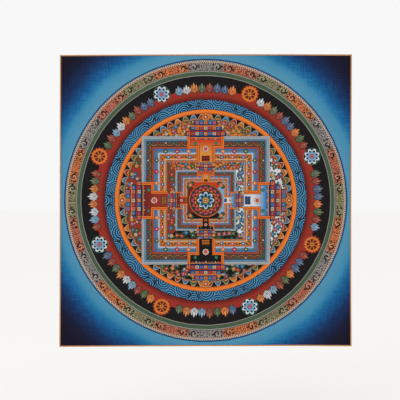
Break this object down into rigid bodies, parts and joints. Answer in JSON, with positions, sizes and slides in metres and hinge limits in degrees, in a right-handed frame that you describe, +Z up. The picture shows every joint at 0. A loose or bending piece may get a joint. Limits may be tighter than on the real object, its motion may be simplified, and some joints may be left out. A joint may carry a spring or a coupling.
{
  "type": "thangka scroll painting",
  "caption": "Square painted cotton canvas with a narrow folded gold edging, hanging flat from its top edge.",
  "frame": {"origin": "middle of the finished top edge, where the cloth is held", "axes": "+Z up, the painted side faces -Y, +X to the right as the painting is looked at"},
  "size_m": [0.6013, 0.0085, 0.6015],
  "materials": {
    "painted_cotton": "matte mineral paint on sized cotton",
    "gold_silk": "soft satin silk"
  },
  "bodies": {
    "root": {"canvas": "painted_cotton", "binding_top": "gold_silk", "binding_bottom": "gold_silk", "binding_left": "gold_silk", "binding_right": "gold_silk"}
  },
  "joints": []
}
